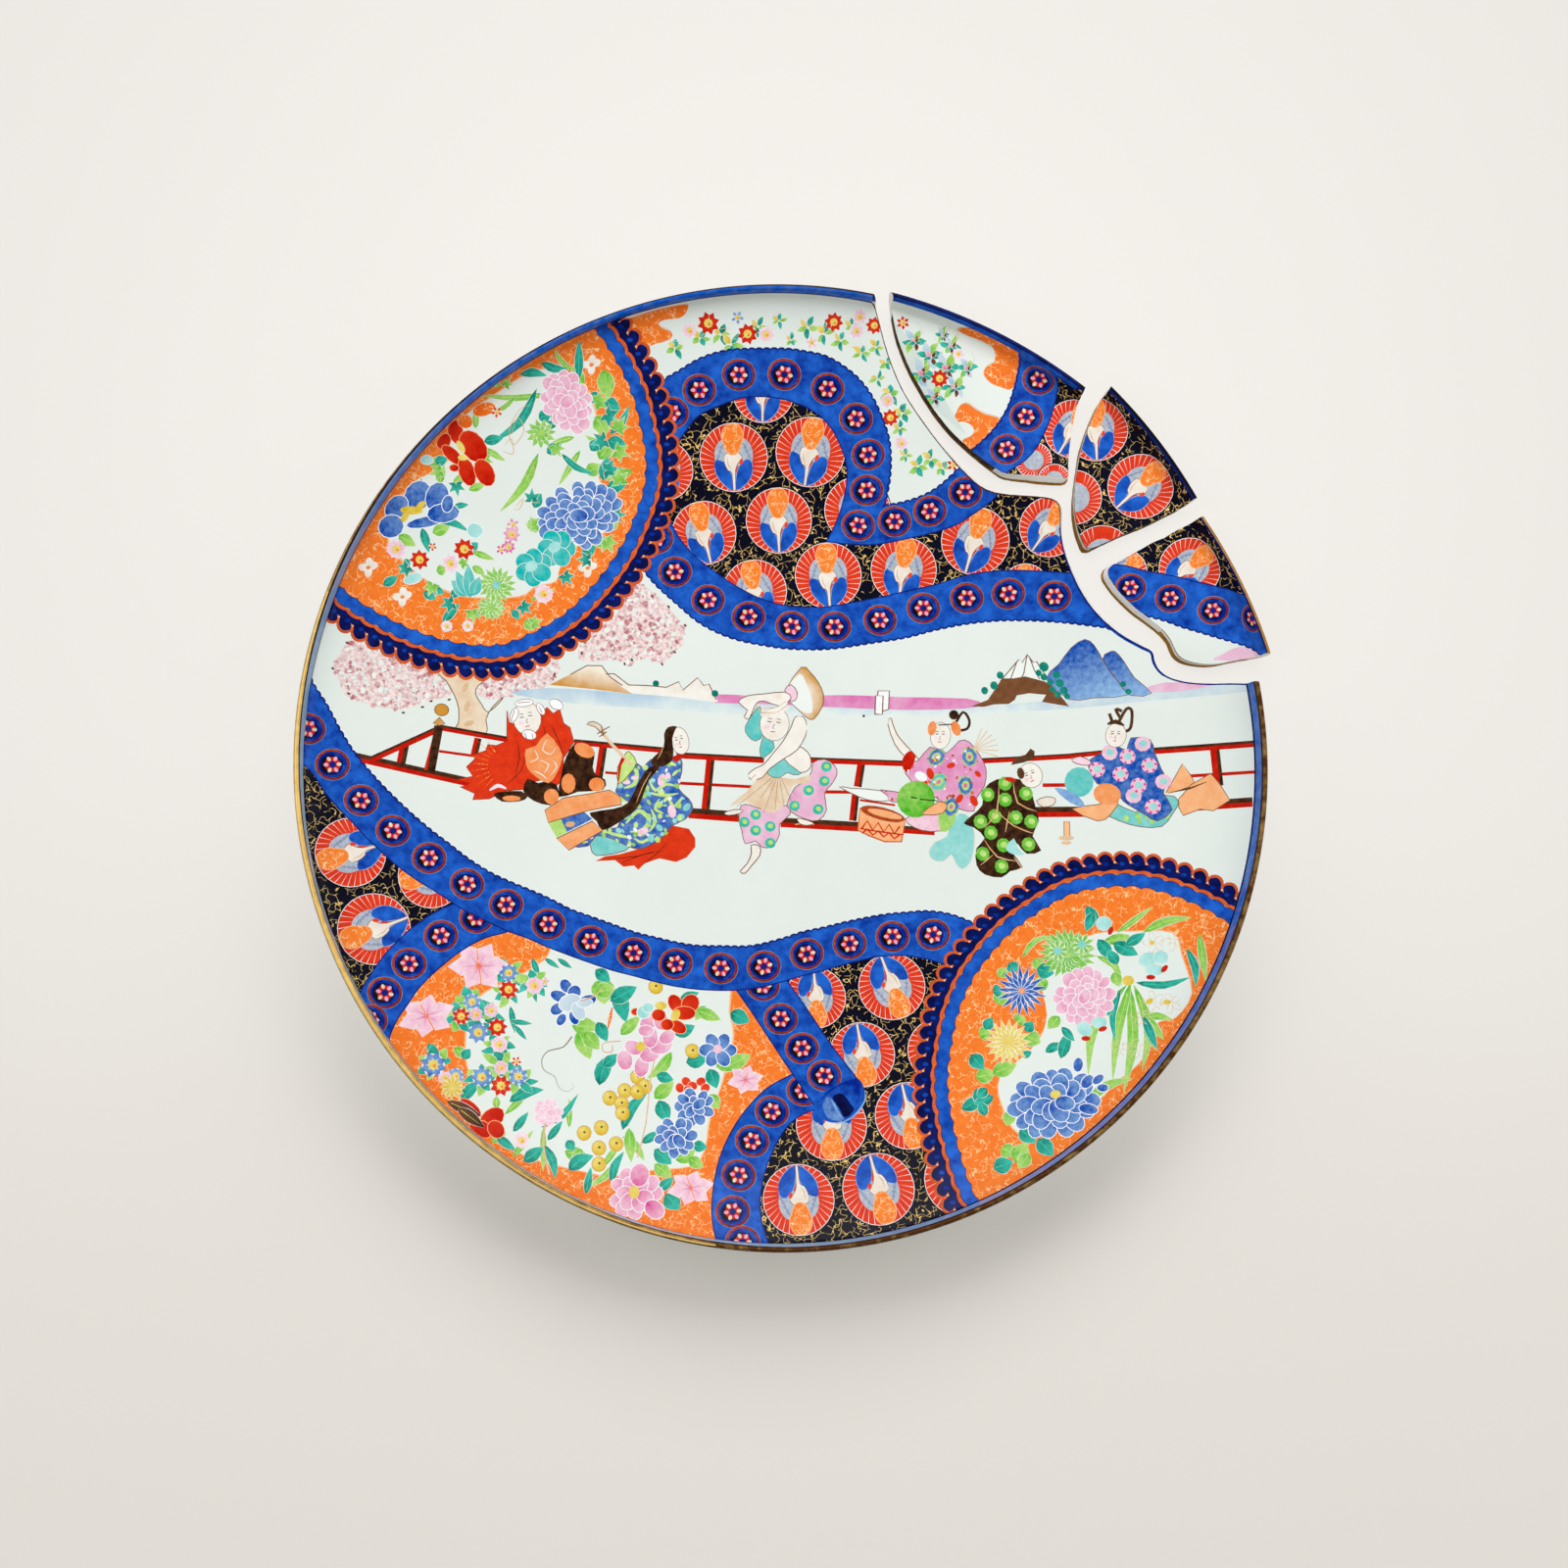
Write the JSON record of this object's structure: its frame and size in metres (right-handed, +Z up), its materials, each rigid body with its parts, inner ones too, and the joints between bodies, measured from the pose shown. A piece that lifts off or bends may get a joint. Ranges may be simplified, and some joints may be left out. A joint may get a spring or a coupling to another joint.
{
  "type": "broken porcelain charger plate in pieces",
  "caption": "Large round porcelain charger on a foot ring, enamelled in a ribbon and panel pattern, broken at the rim, with its loose rim shards lying beside the gap.",
  "frame": {"origin": "on the surface that the pieces lie on, under the middle of the box round all four pieces; the plate's own axis stands 4.1 mm towards -X and 2.3 mm towards -Y of it", "axes": "+Z up out of the plate's face, +Y towards the top of the painted scene, +X to its right, so the break is at the upper right"},
  "size_m": [0.4682, 0.4646, 0.046],
  "materials": {
    "painted_porcelain": "glossy pale glaze with overglaze enamels, iron red and gilding",
    "black_ground_porcelain": "glossy black enamel ground with gilt scrolls and red roundels",
    "cobalt_ground_porcelain": "glossy cobalt blue wash with ringed studs"
  },
  "bodies": {
    "root": {"plate_main": "painted_porcelain", "shard_upper": "painted_porcelain", "shard_middle": "black_ground_porcelain", "shard_lower": "cobalt_ground_porcelain"}
  },
  "joints": []
}
